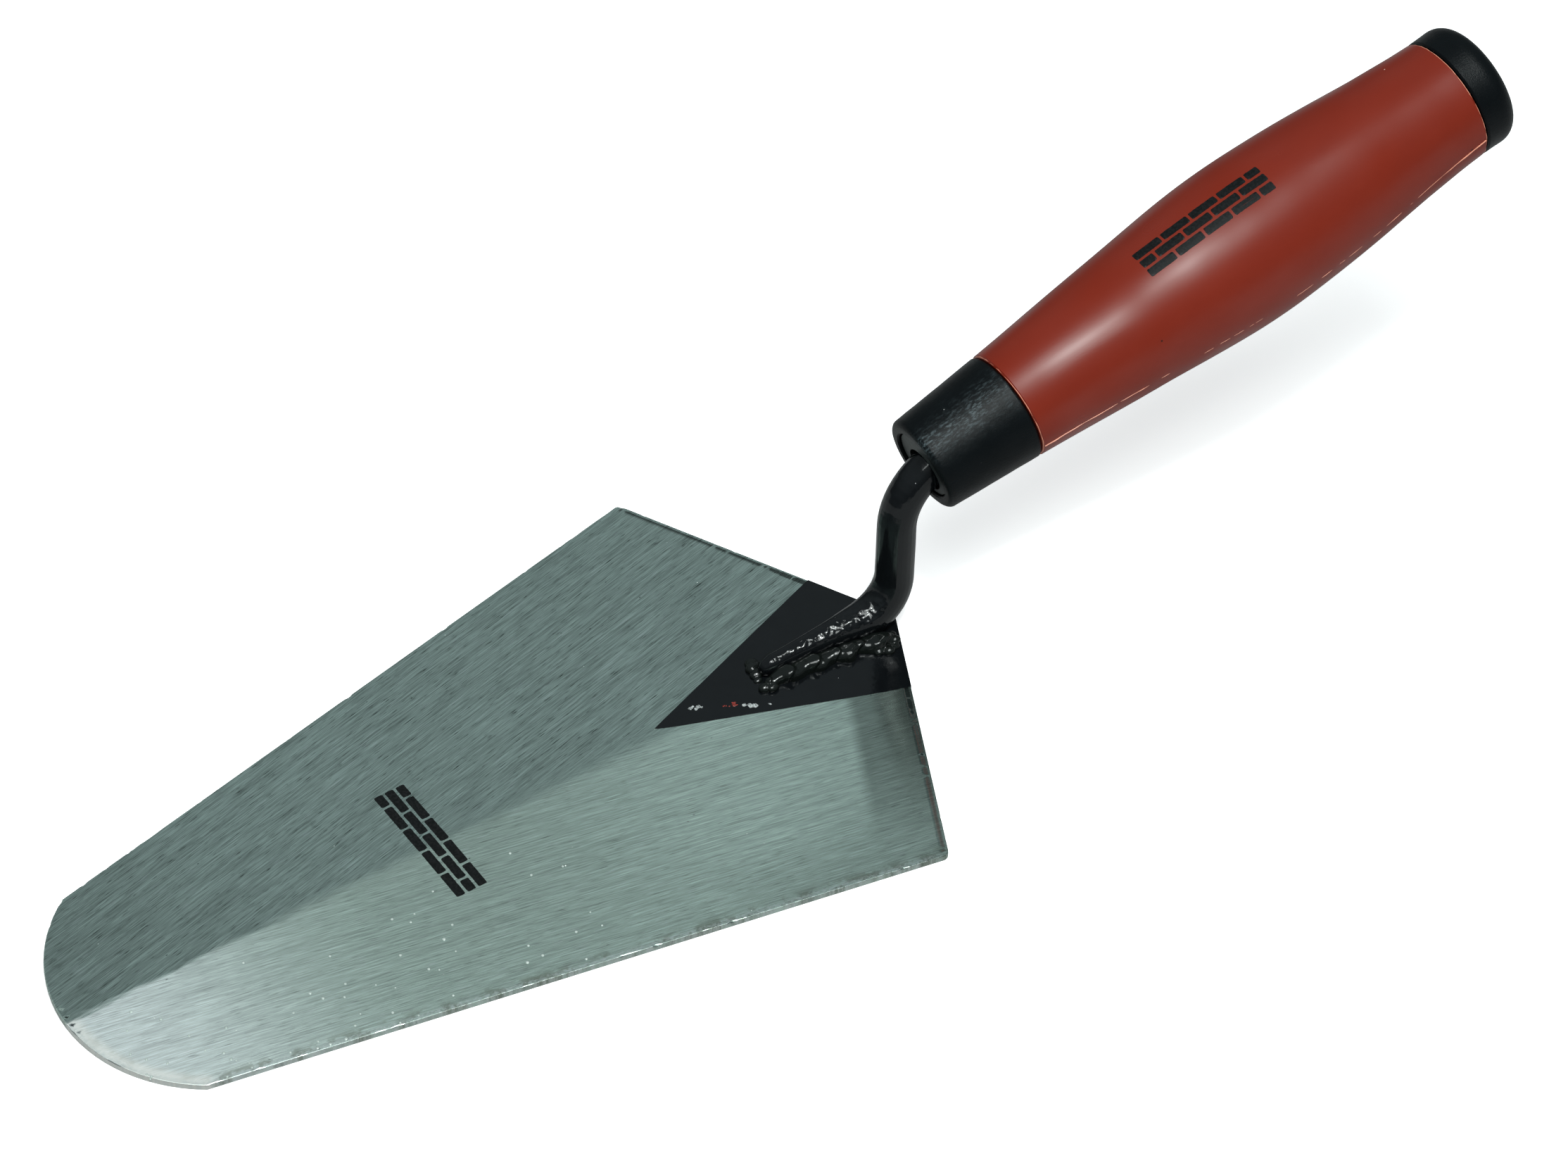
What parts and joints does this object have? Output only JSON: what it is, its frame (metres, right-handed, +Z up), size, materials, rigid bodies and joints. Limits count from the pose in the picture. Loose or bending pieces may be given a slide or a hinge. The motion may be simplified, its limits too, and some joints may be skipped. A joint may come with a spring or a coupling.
{
  "type": "gauging trowel",
  "caption": "Masonry gauging trowel: kite-shaped ground steel blade with a rounded nose, cranked forged neck welded to it, and a round soft-grip handle with end cap.",
  "frame": {"origin": "on the blade's flat underside, midway between the two shoulders, where the blade is widest", "axes": "+Y runs along the trowel from toe to handle, +Z points up from the flat underside through the blade, +X across the blade; the YZ plane is the plane of symmetry"},
  "size_m": [0.11, 0.3156, 0.0816],
  "materials": {
    "ground_steel": "ground along the blade's sides, with a clear coat of oil, black lacquer towards the heel",
    "black_lacquer": "glossy black lacquer over rough forged steel",
    "lacquered_weld": "glossy black lacquer over rippled weld metal",
    "black_rubber": "matte, fine grained, slightly scuffed",
    "hard_plastic": "satin",
    "red_grip": "satin soft-touch, with a mould line on each side"
  },
  "bodies": {
    "root": {"blade": "ground_steel", "neck_tang": "black_lacquer", "weld_bead_left": "lacquered_weld", "weld_bead_right": "lacquered_weld", "front_collar": "black_rubber", "handle_core": "hard_plastic", "grip_sleeve": "red_grip", "end_cap": "black_rubber"}
  },
  "joints": []
}
